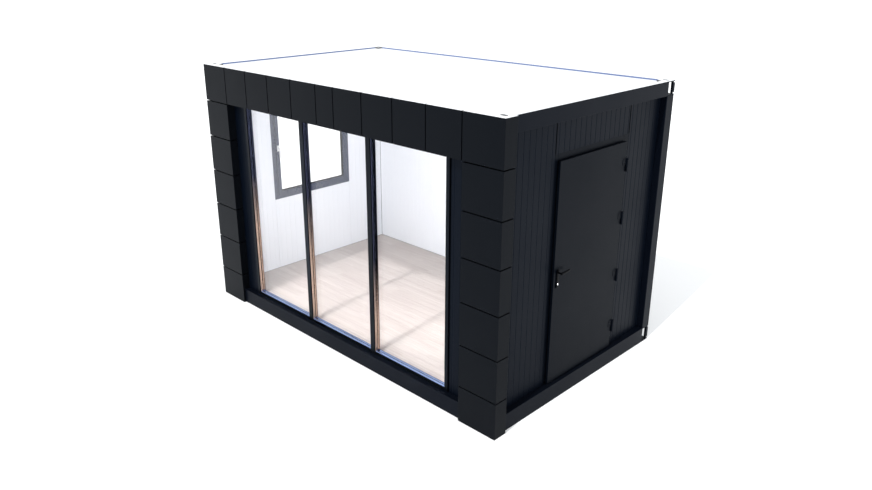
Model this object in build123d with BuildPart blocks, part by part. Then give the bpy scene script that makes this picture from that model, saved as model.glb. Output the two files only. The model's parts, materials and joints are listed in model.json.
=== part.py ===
from build123d import *
import os

os.makedirs("parts", exist_ok=True)

# An office container: a steel frame with insulated walls, a glazed front behind a
# portal of cladding tiles, a window in the left end and a door in the right end.
# Millimetres. Origin in the middle of the footprint on the ground, +Z up,
# -Y towards the glazed front, +X towards the end with the door.

# Steel frame
frame_length = 4000
frame_width = 2400
frame_height = 2600
post_size = 120
post_wall = 4
post_corner_radius = 6
rail_wall = 4
bottom_rail_height = 155
top_rail_height = 132
roof_flange_width = 64
roof_upstand = 15
casting_wall = 10
casting_pillar_width = 35
casting_notch = 25
casting_notch_height = 12
lifting_slot_length = 64
lifting_slot_width = 40

# Portal cladding
cladding_standoff = 25
cladding_sheet = 4
tile_joint = 10
corner_tile_width = 402.5
centre_tile_width = 245
band_height = 375
foot_tile_height = 330
rows_of_full_tiles = 5
end_return_depth = 140
band_tiles_beside_centre = 4

# Walls, floor and roof
wall_recess = 60
wall_thickness = 60
panel_edge_chamfer = 3
rib_pitch = 72
rib_groove_width = 9
rib_groove_depth = 1.5
side_panel_width = 436
lintel_height = 178
back_panel_count = 4
panel_joint = 1
joist_count = 7
floor_joist_width = 50
floor_joist_wall = 3
underside_sheet = 2
floor_board = 20
floor_finish = 6
floor_top = 152
ceiling_board = 12
roof_sheet_thickness = 5

# Front glazing
glazing_recess = 50
glazing_depth = 70
mullion_width = 57
glazing_stile_width = 46
glazing_sill_height = 24
glazing_head_height = 62
shadow_joint_width = 10
shadow_joint_depth = 20
glass_setback = 40
pane_thickness = 24
pane_bite = 12
fit_gap = 0.3

# Window in the left end wall
window_from_front = 646
window_width = 1100
window_bottom = 1000
window_height = 1200
window_frame_bar = 45
window_frame_depth = 70
sash_bar = 45
sash_depth = 60
sash_proud = 14
window_handle_length = 120
window_handle_rise = 45
window_grip_width = 18
window_grip_thickness = 14
window_grip_corner = 8
window_neck_radius = 9
window_rose_width = 28
window_rose_height = 68
window_rose_thickness = 10
window_rose_corner = 6

# Door in the right end wall
door_unit_from_front = 706
door_unit_width = 1069
door_unit_top = 2200
front_jamb_width = 39
back_jamb_width = 70
leaf_gap = 8
leaf_top = 2146
leaf_lip_overlap = 15
leaf_lip_thickness = 22
leaf_body_thickness = 40
stop_width = 20
threshold_height = 4

# Door hinges
bottom_hinge_height = 379
lower_middle_hinge_height = 896
upper_middle_hinge_height = 1447
top_hinge_height = 1937
hinge_length = 120
barrel_radius = 10
pin_radius = 4
pin_clearance = 0.05
hinge_gap = 1
hinge_plate = 3
hinge_web = 4
hinge_flap = 46
barrel_from_leaf_edge = 14
barrel_from_leaf_face = 6

# Door handle and lock
handle_height = 1198
handle_backset = 35
plate_thickness = 8
plate_width = 34
plate_above_spindle = 24
plate_below_spindle = 138
spindle_radius = 8
spindle_clearance = 0.05
lever_rise = 42
lever_length = 130
lever_thickness = 16
lever_width = 20
lock_below_spindle = 103
lock_radius = 9
lock_proud = 3
lock_clearance = 0.3

# Places that follow from the sizes
overall_depth = frame_width + cladding_standoff
front_face = -overall_depth / 2
frame_front = front_face + cladding_standoff
frame_back = frame_front + frame_width
frame_side = frame_length / 2
cladding_side = frame_side + cladding_standoff
roof_line = frame_height - top_rail_height
wall_outer = frame_side - wall_recess
wall_inner = wall_outer - wall_thickness
front_wall_outer = frame_front + wall_recess
front_wall_inner = front_wall_outer + wall_thickness
back_wall_outer = frame_back - wall_recess
back_wall_inner = back_wall_outer - wall_thickness
between_posts_x = frame_side - post_size
between_posts_front = frame_front + post_size
between_posts_back = frame_back - post_size
glazing_front = frame_front + glazing_recess
glazing_back = glazing_front + glazing_depth
half_glazing = between_posts_x - side_panel_width
glazing_opening = 2 * (half_glazing - glazing_stile_width)
glazing_top = roof_line - lintel_height
glass_front = glazing_front + glass_setback
glass_back = glass_front + pane_thickness
glazing_bottom = bottom_rail_height


def slab(low, high, mode=Mode.ADD):
    """A plain block between two corners."""
    centre = [(a + b) / 2 for a, b in zip(low, high)]
    with Locations(tuple(centre)):
        Box(high[0] - low[0], high[1] - low[1], high[2] - low[2], mode=mode)


def outline(*points, mode=Mode.ADD):
    """A closed outline of straight edges in the current sketch."""
    Polygon(*points, align=None, mode=mode)


def save(part, name):
    part.label = name
    export_step(part, f"parts/{name}.step")


# Bottom rails: channels that open inwards, with the floor between them
def bottom_channel():
    reach = post_size
    outline(
        (0, 0), (reach, 0), (reach, rail_wall), (rail_wall, rail_wall),
        (rail_wall, bottom_rail_height - rail_wall), (reach, bottom_rail_height - rail_wall),
        (reach, bottom_rail_height), (0, bottom_rail_height),
    )


# Top rails: a wide flange below for the roof, a narrow one above with a turned-down edge
def top_channel():
    low = roof_line
    top = frame_height
    outline(
        (0, low), (post_size, low), (post_size, low + rail_wall), (rail_wall, low + rail_wall),
        (rail_wall, top - rail_wall), (roof_flange_width - rail_wall, top - rail_wall),
        (roof_flange_width - rail_wall, top - roof_upstand), (roof_flange_width, top - roof_upstand),
        (roof_flange_width, top), (0, top),
    )


front_rail_plane = Plane(
    origin=(-between_posts_x, frame_front, 0), x_dir=(0, 1, 0), z_dir=(1, 0, 0)
)
back_rail_plane = Plane(
    origin=(between_posts_x, frame_back, 0), x_dir=(0, -1, 0), z_dir=(-1, 0, 0)
)
left_rail_plane = Plane(
    origin=(-frame_side, between_posts_back, 0), x_dir=(1, 0, 0), z_dir=(0, -1, 0)
)
right_rail_plane = Plane(
    origin=(frame_side, between_posts_front, 0), x_dir=(-1, 0, 0), z_dir=(0, 1, 0)
)
long_rail = frame_length - 2 * post_size
cross_rail = frame_width - 2 * post_size

with BuildPart() as front_bottom_rail:
    with BuildSketch(front_rail_plane):
        bottom_channel()
    extrude(amount=long_rail)
save(front_bottom_rail.part, "front_bottom_rail")

with BuildPart() as back_bottom_rail:
    with BuildSketch(back_rail_plane):
        bottom_channel()
    extrude(amount=long_rail)
save(back_bottom_rail.part, "back_bottom_rail")

with BuildPart() as left_bottom_rail:
    with BuildSketch(left_rail_plane):
        bottom_channel()
    extrude(amount=cross_rail)
save(left_bottom_rail.part, "left_bottom_rail")

with BuildPart() as right_bottom_rail:
    with BuildSketch(right_rail_plane):
        bottom_channel()
    extrude(amount=cross_rail)
save(right_bottom_rail.part, "right_bottom_rail")

with BuildPart() as front_top_rail:
    with BuildSketch(front_rail_plane):
        top_channel()
    extrude(amount=long_rail)
save(front_top_rail.part, "front_top_rail")

with BuildPart() as back_top_rail:
    with BuildSketch(back_rail_plane):
        top_channel()
    extrude(amount=long_rail)
save(back_top_rail.part, "back_top_rail")

with BuildPart() as left_top_rail:
    with BuildSketch(left_rail_plane):
        top_channel()
    extrude(amount=cross_rail)
save(left_top_rail.part, "left_top_rail")

with BuildPart() as right_top_rail:
    with BuildSketch(right_rail_plane):
        top_channel()
    extrude(amount=cross_rail)
save(right_top_rail.part, "right_top_rail")

# Corner posts and castings, one at each corner of the frame
corner_signs = ((-1, -1), (1, -1), (1, 1), (-1, 1))
frame_centre_y = (frame_front + frame_back) / 2
corner_x = frame_side - post_size / 2
corner_y = frame_width / 2 - post_size / 2

with BuildPart() as corner_posts:
    with BuildSketch(Plane.XY.offset(bottom_rail_height)):
        for sx, sy in corner_signs:
            with Locations((sx * corner_x, frame_centre_y + sy * corner_y)):
                RectangleRounded(post_size, post_size, post_corner_radius)
                inside = post_size - 2 * post_wall
                RectangleRounded(inside, inside, post_corner_radius - post_wall, mode=Mode.SUBTRACT)
    extrude(amount=roof_line - bottom_rail_height)
save(corner_posts.part, "corner_posts")


def corner_castings(bottom, height, lock_face):
    """Four corner boxes, open in both outer sides but for a notched pillar at the corner."""
    slot_height = height - 2 * casting_wall
    slot_width = post_size - casting_pillar_width - casting_wall
    for sx, sy in corner_signs:
        cx = sx * corner_x
        cy = frame_centre_y + sy * corner_y
        with Locations((cx, cy, bottom + height / 2)):
            Box(post_size, post_size, height)
            inside = post_size - 2 * casting_wall
            Box(inside, inside, height - 2 * casting_wall, mode=Mode.SUBTRACT)
        from_corner = casting_pillar_width + slot_width / 2
        slot_x = sx * (frame_side - from_corner)
        slot_y = frame_centre_y + sy * (frame_width / 2 - from_corner)
        outer_x = sx * (frame_side - casting_wall / 2)
        outer_y = frame_centre_y + sy * (frame_width / 2 - casting_wall / 2)
        with Locations((outer_x, slot_y, bottom + height / 2)):
            Box(casting_wall, slot_width, slot_height, mode=Mode.SUBTRACT)
        with Locations((slot_x, outer_y, bottom + height / 2)):
            Box(slot_width, casting_wall, slot_height, mode=Mode.SUBTRACT)
        notch_x = sx * (frame_side - casting_notch / 2)
        notch_y = frame_centre_y + sy * (frame_width - casting_notch) / 2
        notch_low = bottom + casting_wall + casting_notch_height / 2
        notch_high = bottom + height - casting_wall - casting_notch_height / 2
        with Locations((notch_x, notch_y, notch_low), (notch_x, notch_y, notch_high)):
            Box(casting_notch, casting_notch, casting_notch_height, mode=Mode.SUBTRACT)
    with BuildSketch(Plane.XY.offset(lock_face)) as lifting_slots:
        for sx, sy in corner_signs:
            with Locations((sx * corner_x, frame_centre_y + sy * corner_y)):
                SlotOverall(lifting_slot_length, lifting_slot_width)
    extrude(lifting_slots.sketch, amount=casting_wall, mode=Mode.SUBTRACT)


with BuildPart() as bottom_corner_castings:
    corner_castings(0, bottom_rail_height, 0)
save(bottom_corner_castings.part, "bottom_corner_castings")

with BuildPart() as top_corner_castings:
    corner_castings(roof_line, top_rail_height, frame_height - casting_wall)
save(top_corner_castings.part, "top_corner_castings")


def sheet_in_frame(bottom, top):
    """A sheet between the webs of the rails, in three pieces that keep clear of the corners."""
    slab((-between_posts_x, front_web_inside, bottom), (between_posts_x, back_web_inside, top))
    edge = between_posts_x + fit_gap
    slab((-web_inside, between_posts_front, bottom), (-edge, between_posts_back, top))
    slab((edge, between_posts_front, bottom), (web_inside, between_posts_back, top))


# Floor: a sheet below, channels across it, a board on them and a wooden finish
joist_bottom = rail_wall + underside_sheet
joist_top = floor_top - floor_finish - floor_board
web_inside = frame_side - rail_wall
front_web_inside = frame_front + rail_wall
back_web_inside = frame_back - rail_wall
joist_pitch = 2 * wall_inner / (joist_count - 1)

with BuildPart() as floor_underside_sheet:
    sheet_in_frame(rail_wall, joist_bottom)
save(floor_underside_sheet.part, "floor_underside_sheet")


def joists(bottom, top, width, wall, reach):
    """Channels across the frame, side by side and opening towards +X."""
    span = reach[1] - reach[0]
    start = Plane(origin=(0, reach[0], 0), x_dir=(-1, 0, 0), z_dir=(0, 1, 0))
    with BuildSketch(start) as sections:
        for index in range(joist_count):
            centre = (index - (joist_count - 1) / 2) * joist_pitch * (wall_inner - width) / wall_inner
            side = centre + width / 2
            outline(
                (side, bottom), (side, top), (side - width, top), (side - width, top - wall),
                (side - wall, top - wall), (side - wall, bottom + wall),
                (side - width, bottom + wall), (side - width, bottom),
            )
    extrude(sections.sketch, amount=span)


with BuildPart() as floor_cross_members:
    joists(joist_bottom, joist_top, floor_joist_width, floor_joist_wall,
           (front_web_inside, back_web_inside))
save(floor_cross_members.part, "floor_cross_members")

with BuildPart() as floor_panel:
    slab(
        (-wall_inner, front_wall_inner, joist_top),
        (wall_inner, back_wall_inner, joist_top + floor_board),
    )
save(floor_panel.part, "floor_panel")

with BuildPart() as floor_covering:
    slab(
        (-wall_inner, front_wall_inner, floor_top - floor_finish),
        (wall_inner, back_wall_inner, floor_top),
    )
save(floor_covering.part, "floor_covering")

# Roof: a ceiling board on the lower flanges, channels on it and a flat sheet on top
ceiling_bottom = roof_line + rail_wall
roof_joist_bottom = ceiling_bottom + ceiling_board
roof_sheet_top = frame_height - roof_upstand
roof_joist_top = roof_sheet_top - roof_sheet_thickness

with BuildPart() as ceiling_panel:
    sheet_in_frame(ceiling_bottom, roof_joist_bottom)
save(ceiling_panel.part, "ceiling_panel")

with BuildPart() as roof_joists:
    joists(roof_joist_bottom, roof_joist_top, floor_joist_width, floor_joist_wall,
           (front_web_inside, back_web_inside))
save(roof_joists.part, "roof_joists")

with BuildPart() as roof_sheet:
    sheet_in_frame(roof_joist_top, roof_sheet_top)
save(roof_sheet.part, "roof_sheet")


# Walls: insulated panels that stand on the bottom rails between the posts
def ribbed_edge(length, face, inwards):
    """Points along one face of a panel, stepping in at each groove."""
    count = int((length - rib_pitch / 2 - rib_groove_width) / rib_pitch) + 1
    half_mouth = rib_groove_width / 2
    half_floor = rib_groove_width / 4
    points = [(panel_edge_chamfer, face)]
    for index in range(count):
        middle = rib_pitch / 2 + index * rib_pitch
        groove_floor = face + inwards * rib_groove_depth
        points.append((middle - half_mouth, face))
        points.append((middle - half_floor, groove_floor))
        points.append((middle + half_floor, groove_floor))
        points.append((middle + half_mouth, face))
    points.append((length - panel_edge_chamfer, face))
    return points


def wall_panel(low, high):
    """One upright panel with shallow grooves down both faces and chamfered corners."""
    along_x = high[0] - low[0] > high[1] - low[1]
    length = high[0] - low[0] if along_x else high[1] - low[1]
    thickness = high[1] - low[1] if along_x else high[0] - low[0]
    near = ribbed_edge(length, 0, 1)
    far = ribbed_edge(length, thickness, -1)
    far.reverse()
    ends = [(length, panel_edge_chamfer), (length, thickness - panel_edge_chamfer)]
    starts = [(0, thickness - panel_edge_chamfer), (0, panel_edge_chamfer)]
    points = []
    for along, across in near + ends + far + starts:
        if along_x:
            points.append((low[0] + along, low[1] + across))
        else:
            points.append((low[0] + across, low[1] + along))
    with BuildSketch(Plane.XY.offset(low[2])) as plan:
        outline(*points)
    extrude(plan.sketch, amount=high[2] - low[2])


back_wall_length = 2 * between_posts_x
back_pitch = (back_wall_length + panel_joint) / back_panel_count

with BuildPart() as back_wall_panels:
    for index in range(back_panel_count):
        left = -between_posts_x + index * back_pitch
        right = left + back_pitch - panel_joint
        wall_panel((left, back_wall_inner, bottom_rail_height), (right, back_wall_outer, roof_line))
save(back_wall_panels.part, "back_wall_panels")

window_front = frame_front + window_from_front
window_back = window_front + window_width
window_top = window_bottom + window_height

with BuildPart() as left_wall_panels:
    wall_panel(
        (-wall_outer, between_posts_front, bottom_rail_height),
        (-wall_inner, window_front, roof_line),
    )
    wall_panel(
        (-wall_outer, window_back, bottom_rail_height),
        (-wall_inner, between_posts_back, roof_line),
    )
    wall_panel(
        (-wall_outer, window_front + panel_joint, bottom_rail_height),
        (-wall_inner, window_back - panel_joint, window_bottom),
    )
    wall_panel(
        (-wall_outer, window_front + panel_joint, window_top),
        (-wall_inner, window_back - panel_joint, roof_line),
    )
save(left_wall_panels.part, "left_wall_panels")

door_unit_front = frame_front + door_unit_from_front
door_unit_back = door_unit_front + door_unit_width

with BuildPart() as right_wall_front_panel:
    wall_panel(
        (wall_inner, between_posts_front, bottom_rail_height),
        (wall_outer, door_unit_front, roof_line),
    )
save(right_wall_front_panel.part, "right_wall_front_panel")

with BuildPart() as right_wall_back_panel:
    wall_panel(
        (wall_inner, door_unit_back, bottom_rail_height),
        (wall_outer, between_posts_back, roof_line),
    )
save(right_wall_back_panel.part, "right_wall_back_panel")

with BuildPart() as right_wall_over_door:
    wall_panel(
        (wall_inner, door_unit_front, door_unit_top),
        (wall_outer, door_unit_back, roof_line),
    )
save(right_wall_over_door.part, "right_wall_over_door")

with BuildPart() as front_wall_side_panels:
    for left, right in ((-between_posts_x, -half_glazing), (half_glazing, between_posts_x)):
        wall_panel(
            (left, front_wall_outer, bottom_rail_height), (right, front_wall_inner, roof_line)
        )
save(front_wall_side_panels.part, "front_wall_side_panels")

with BuildPart() as front_wall_lintel:
    slab(
        (-half_glazing, front_wall_outer, glazing_top), (half_glazing, front_wall_inner, roof_line)
    )
save(front_wall_lintel.part, "front_wall_lintel")

# Front glazing: a frame with two mullions that hold three tall panes in their grooves
groove_front = glass_front - fit_gap
groove_back = glass_back + fit_gap
groove_depth = pane_bite + fit_gap
sightline = glazing_opening / 2
sill_top = glazing_bottom + glazing_sill_height
head_bottom = glazing_top - glazing_head_height


def stile(side):
    """Plan of an outer stile, with a groove for the pane and a shadow joint at the wall."""
    outline(
        (side * sightline, glazing_front),
        (side * sightline, groove_front),
        (side * (sightline + groove_depth), groove_front),
        (side * (sightline + groove_depth), groove_back),
        (side * sightline, groove_back),
        (side * sightline, glazing_back),
        (side * half_glazing, glazing_back),
        (side * half_glazing, glazing_front + shadow_joint_depth),
        (side * (half_glazing - shadow_joint_width), glazing_front + shadow_joint_depth),
        (side * (half_glazing - shadow_joint_width), glazing_front),
    )


def crossbar(outer, edge):
    """Section of the sill or head, with a groove for the panes."""
    inward = 1 if edge < outer else -1
    outline(
        (glazing_front, outer), (glazing_front, edge), (groove_front, edge),
        (groove_front, edge + inward * groove_depth), (groove_back, edge + inward * groove_depth),
        (groove_back, edge), (glazing_back, edge), (glazing_back, outer),
    )


crossbar_half = sightline - fit_gap
crossbar_plane = Plane(origin=(-crossbar_half, 0, 0), x_dir=(0, 1, 0), z_dir=(1, 0, 0))

with BuildPart() as glazing_frame:
    with BuildSketch(Plane.XY.offset(glazing_bottom)):
        stile(-1)
        stile(1)
    extrude(amount=glazing_top - glazing_bottom)
    with BuildSketch(crossbar_plane):
        crossbar(glazing_bottom, sill_top)
        crossbar(glazing_top, head_bottom)
    extrude(amount=2 * crossbar_half)
save(glazing_frame.part, "glazing_frame")

pane_width = (glazing_opening - 2 * mullion_width) / 3
mullion_x = (pane_width + mullion_width) / 2
half_mullion = mullion_width / 2
web = half_mullion - groove_depth

with BuildPart() as glazing_mullions:
    with BuildSketch(Plane.XY.offset(sill_top + fit_gap)):
        for cx in (-mullion_x, mullion_x):
            outline(
                (cx - half_mullion, glazing_front), (cx + half_mullion, glazing_front),
                (cx + half_mullion, groove_front), (cx + web, groove_front),
                (cx + web, groove_back), (cx + half_mullion, groove_back),
                (cx + half_mullion, glazing_back), (cx - half_mullion, glazing_back),
                (cx - half_mullion, groove_back), (cx - web, groove_back),
                (cx - web, groove_front), (cx - half_mullion, groove_front),
            )
    extrude(amount=head_bottom - sill_top - 2 * fit_gap)
save(glazing_mullions.part, "glazing_mullions")

with BuildPart() as glazing_panes:
    for index in (-1, 0, 1):
        centre = index * (pane_width + mullion_width)
        slab(
            (centre - pane_width / 2 - pane_bite, glass_front, sill_top - pane_bite),
            (centre + pane_width / 2 + pane_bite, glass_back, head_bottom + pane_bite),
        )
save(glazing_panes.part, "glazing_panes")

# Window in the left end: fixed frame, sash, pane and a turning handle on the sash
window_frame_outer = -(wall_outer + (window_frame_depth - wall_thickness) / 2)
window_frame_inner = window_frame_outer + window_frame_depth
sash_inner = window_frame_inner + sash_proud
sash_outer = sash_inner - sash_depth
window_pane_outer = (sash_inner + sash_outer - pane_thickness) / 2
window_pane_inner = window_pane_outer + pane_thickness


def rectangle_of_bars(near, far, front, back, bottom, top, bar):
    """Two uprights with two rails between them, closed up to a hairline joint."""
    slab((near, front, bottom), (far, front + bar, top))
    slab((near, back - bar, bottom), (far, back, top))
    slab((near, front + bar + fit_gap, bottom), (far, back - bar - fit_gap, bottom + bar))
    slab((near, front + bar + fit_gap, top - bar), (far, back - bar - fit_gap, top))


with BuildPart() as window_frame:
    rectangle_of_bars(
        window_frame_outer, window_frame_inner, window_front + fit_gap, window_back - fit_gap,
        window_bottom + fit_gap, window_top - fit_gap, window_frame_bar,
    )
save(window_frame.part, "window_frame")

sash_inset = window_frame_bar + 2 * fit_gap
sash_front = window_front + sash_inset
sash_back = window_back - sash_inset
sash_bottom = window_bottom + sash_inset
sash_top = window_top - sash_inset

with BuildPart() as window_sash:
    rectangle_of_bars(
        sash_outer, sash_inner, sash_front, sash_back, sash_bottom, sash_top, sash_bar
    )
save(window_sash.part, "window_sash")

with BuildPart() as window_pane:
    inset = sash_bar + fit_gap
    slab(
        (window_pane_outer, sash_front + inset, sash_bottom + inset),
        (window_pane_inner, sash_back - inset, sash_top - inset),
    )
save(window_pane.part, "window_pane")

window_handle_z = window_bottom + window_height / 2
window_handle_y = sash_front + sash_bar / 2

with BuildPart() as window_handle:
    with BuildSketch(Plane.YZ.offset(sash_inner)):
        with Locations((window_handle_y, window_handle_z)):
            RectangleRounded(window_rose_width, window_rose_height, window_rose_corner)
    extrude(amount=window_rose_thickness)
    with BuildSketch(Plane.YZ.offset(sash_inner + window_rose_thickness)):
        with Locations((window_handle_y, window_handle_z)):
            Circle(window_neck_radius)
    extrude(amount=window_handle_rise - window_rose_thickness)
    grip_centre = window_handle_z - (window_handle_length - window_grip_width) / 2
    with BuildSketch(Plane.YZ.offset(sash_inner + window_handle_rise - window_grip_thickness)):
        with Locations((window_handle_y, grip_centre)):
            RectangleRounded(window_grip_width, window_handle_length, window_grip_corner)
    extrude(amount=window_grip_thickness)
save(window_handle.part, "window_handle")

# Door frame: two jambs and a head with a stop round the inside, and a threshold
leaf_bottom = bottom_rail_height + threshold_height + leaf_gap
lip_back = wall_outer + leaf_gap
leaf_face = lip_back + leaf_lip_thickness
leaf_inner = lip_back - leaf_body_thickness
stop_face = leaf_inner - leaf_gap
front_jamb_face = door_unit_front + front_jamb_width
back_jamb_face = door_unit_back - back_jamb_width
leaf_body_front = front_jamb_face + leaf_gap
leaf_body_back = back_jamb_face - leaf_gap
leaf_body_top = leaf_top - leaf_lip_overlap
head_face = leaf_body_top + leaf_gap
leaf_front = leaf_body_front - leaf_lip_overlap
leaf_back = leaf_body_back + leaf_lip_overlap

with BuildPart() as door_jambs:
    with BuildSketch(Plane.XY.offset(bottom_rail_height)):
        for unit_edge, face, towards in (
            (door_unit_front, front_jamb_face, 1),
            (door_unit_back, back_jamb_face, -1),
        ):
            stop_edge = face + towards * stop_width
            outline(
                (wall_inner, unit_edge), (wall_outer, unit_edge), (wall_outer, face),
                (stop_face, face), (stop_face, stop_edge), (wall_inner, stop_edge),
            )
    extrude(amount=door_unit_top - bottom_rail_height)
save(door_jambs.part, "door_jambs")

with BuildPart() as door_head:
    slab(
        (stop_face, front_jamb_face + fit_gap, head_face),
        (wall_outer, back_jamb_face - fit_gap, door_unit_top),
    )
    slab(
        (wall_inner, front_jamb_face + stop_width + fit_gap, head_face - stop_width),
        (stop_face, back_jamb_face - stop_width - fit_gap, door_unit_top),
    )
save(door_head.part, "door_head")

with BuildPart() as door_threshold:
    slab(
        (wall_inner, front_jamb_face + stop_width + fit_gap, bottom_rail_height),
        (wall_outer, back_jamb_face - stop_width - fit_gap, bottom_rail_height + threshold_height),
    )
save(door_threshold.part, "door_threshold")

# Hinges: a lower half with its pin on the jamb, and an upper half on the leaf
hinge_heights = (
    bottom_hinge_height, lower_middle_hinge_height, upper_middle_hinge_height, top_hinge_height
)
hinge_x = leaf_face + barrel_from_leaf_face
hinge_y = leaf_back + barrel_from_leaf_edge

with BuildPart() as door_hinge_pins:
    for height in hinge_heights:
        bottom = height - hinge_length / 2
        lower = hinge_length / 2 - hinge_gap
        with BuildSketch(Plane.XY.offset(bottom)):
            with Locations((hinge_x, hinge_y)):
                Circle(barrel_radius)
            with Locations(((wall_outer + hinge_x) / 2, hinge_y)):
                Rectangle(hinge_x - wall_outer, hinge_web)
        extrude(amount=lower)
        with BuildSketch(Plane.XY.offset(bottom + lower)):
            with Locations((hinge_x, hinge_y)):
                Circle(pin_radius)
        extrude(amount=hinge_length - lower)
save(door_hinge_pins.part, "door_hinge_pins")

with BuildPart() as door_hinge_knuckles:
    for height in hinge_heights:
        with BuildSketch(Plane.XY.offset(height)):
            with Locations((hinge_x, hinge_y)):
                Circle(barrel_radius)
            flap_start = hinge_y - hinge_flap - barrel_from_leaf_edge
            with Locations((leaf_face + hinge_plate / 2, (flap_start + hinge_y) / 2)):
                Rectangle(hinge_plate, hinge_y - flap_start)
            with Locations((hinge_x, hinge_y)):
                Circle(pin_radius + pin_clearance, mode=Mode.SUBTRACT)
        extrude(amount=hinge_length / 2)
save(door_hinge_knuckles.part, "door_hinge_knuckles")

# Door leaf: a body between the jambs and a lip that overlaps them outside
spindle_y = leaf_body_front + handle_backset
lock_z = handle_height - lock_below_spindle

with BuildPart() as door_leaf:
    slab((leaf_inner, leaf_body_front, leaf_bottom), (lip_back, leaf_body_back, leaf_body_top))
    slab((lip_back, leaf_front, leaf_bottom), (leaf_face, leaf_back, leaf_top))
    with BuildSketch(Plane.YZ.offset(leaf_inner)):
        with Locations((spindle_y, handle_height)):
            Circle(spindle_radius + spindle_clearance)
        with Locations((spindle_y, lock_z)):
            Circle(lock_radius + lock_clearance)
    extrude(amount=leaf_face - leaf_inner, mode=Mode.SUBTRACT)
save(door_leaf.part, "door_leaf")

plate_bottom = handle_height - plate_below_spindle
plate_top = handle_height + plate_above_spindle

with BuildPart() as door_handle_plates:
    for start in (leaf_face, leaf_inner - plate_thickness):
        with BuildSketch(Plane.YZ.offset(start)):
            with Locations((spindle_y, (plate_bottom + plate_top) / 2)):
                RectangleRounded(plate_width, plate_top - plate_bottom, plate_width / 4)
            with Locations((spindle_y, handle_height)):
                Circle(spindle_radius + spindle_clearance, mode=Mode.SUBTRACT)
            with Locations((spindle_y, lock_z)):
                Circle(lock_radius + lock_clearance, mode=Mode.SUBTRACT)
        extrude(amount=plate_thickness)
save(door_handle_plates.part, "door_handle_plates")

with BuildPart() as door_lock_cylinder:
    lock_start = leaf_inner - plate_thickness - lock_proud
    with BuildSketch(Plane.YZ.offset(lock_start)):
        with Locations((spindle_y, lock_z)):
            Circle(lock_radius)
    extrude(amount=leaf_face + plate_thickness + lock_proud - lock_start)
save(door_lock_cylinder.part, "door_lock_cylinder")

# Door handle: a spindle through the leaf with a lever at each end
lever_face = leaf_face + plate_thickness + lever_rise
lever_inner_face = leaf_inner - plate_thickness - lever_rise

with BuildPart() as door_handle:
    with BuildSketch(Plane.YZ.offset(lever_inner_face)):
        with Locations((spindle_y, handle_height)):
            Circle(spindle_radius)
    extrude(amount=lever_face - lever_inner_face)
    for start in (lever_face - lever_thickness, lever_inner_face):
        with BuildSketch(Plane.YZ.offset(start)):
            with Locations((spindle_y + lever_length / 2 - lever_width / 2, handle_height)):
                RectangleRounded(lever_length, lever_width, lever_width * 0.45)
        extrude(amount=lever_thickness)
save(door_handle.part, "door_handle")

# Portal cladding: trays of folded sheet with open joints between them
side_tile_width = (
    2 * cladding_side - 2 * corner_tile_width - centre_tile_width
) / (2 * band_tiles_beside_centre)
band_bottom = frame_height - band_height
tile_row_height = (band_bottom - foot_tile_height) / rows_of_full_tiles
tray_depth = cladding_standoff


def tray_plan(side, skin):
    """Plan of a column tile round the corner of the frame, set in by the sheet at its faces."""
    outer = side * (cladding_side - skin)
    edge = side * (cladding_side - corner_tile_width + tile_joint / 2 + skin)
    inside = side * (cladding_side - tray_depth)
    back = front_face + end_return_depth - skin
    outline(
        (outer, front_face + skin), (edge, front_face + skin), (edge, frame_front),
        (inside, frame_front), (inside, back), (outer, back),
    )


def column_tile(side, bottom, top):
    """One tray of folded sheet that is open towards the frame."""
    with BuildSketch(Plane.XY.offset(bottom)) as outside:
        tray_plan(side, 0)
    extrude(outside.sketch, amount=top - bottom)
    with BuildSketch(Plane.XY.offset(bottom + cladding_sheet)) as hollow:
        tray_plan(side, cladding_sheet)
    extrude(hollow.sketch, amount=top - bottom - 2 * cladding_sheet, mode=Mode.SUBTRACT)


def inner_return(side, bottom, top):
    """The sheet that closes a column towards the glazing, above the bottom rail."""
    edge = side * (cladding_side - corner_tile_width + tile_joint / 2)
    low = min(edge, edge + side * cladding_sheet)
    slab(
        (low, front_face, max(bottom, bottom_rail_height)),
        (low + cladding_sheet, front_wall_outer, top),
    )


def column(side):
    """All the tiles of one column, from the ground to the band."""
    bottom = 0
    for height in [foot_tile_height] + [tile_row_height] * rows_of_full_tiles:
        top = bottom + height
        low = bottom if bottom == 0 else bottom + tile_joint / 2
        column_tile(side, low, top - tile_joint / 2)
        inner_return(side, low, top - tile_joint / 2)
        bottom = top


with BuildPart() as cladding_left_column:
    column(-1)
save(cladding_left_column.part, "cladding_left_column")

with BuildPart() as cladding_right_column:
    column(1)
save(cladding_right_column.part, "cladding_right_column")


def band_tile(left, right):
    """One tray of the band, with a sheet below it that runs back to the glazing."""
    bottom = band_bottom + tile_joint / 2
    slab((left, front_face, bottom), (right, frame_front, frame_height))
    slab(
        (left + cladding_sheet, front_face + cladding_sheet, bottom + cladding_sheet),
        (right - cladding_sheet, frame_front, frame_height - cladding_sheet),
        mode=Mode.SUBTRACT,
    )
    slab((left, frame_front, bottom), (right, glazing_front, bottom + cladding_sheet))


with BuildPart() as cladding_band_corners:
    for side in (-1, 1):
        column_tile(side, band_bottom + tile_joint / 2, frame_height)
save(cladding_band_corners.part, "cladding_band_corners")

with BuildPart() as cladding_band:
    start = -cladding_side + corner_tile_width
    widths = [side_tile_width] * band_tiles_beside_centre
    for width in widths + [centre_tile_width] + widths:
        band_tile(start + tile_joint / 2, start + width - tile_joint / 2)
        start += width
save(cladding_band.part, "cladding_band")
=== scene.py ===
import json
import math

import bmesh
import bpy
from bpy.props import FloatProperty, FloatVectorProperty, IntProperty, PointerProperty
from mathutils import Matrix, Vector

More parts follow.
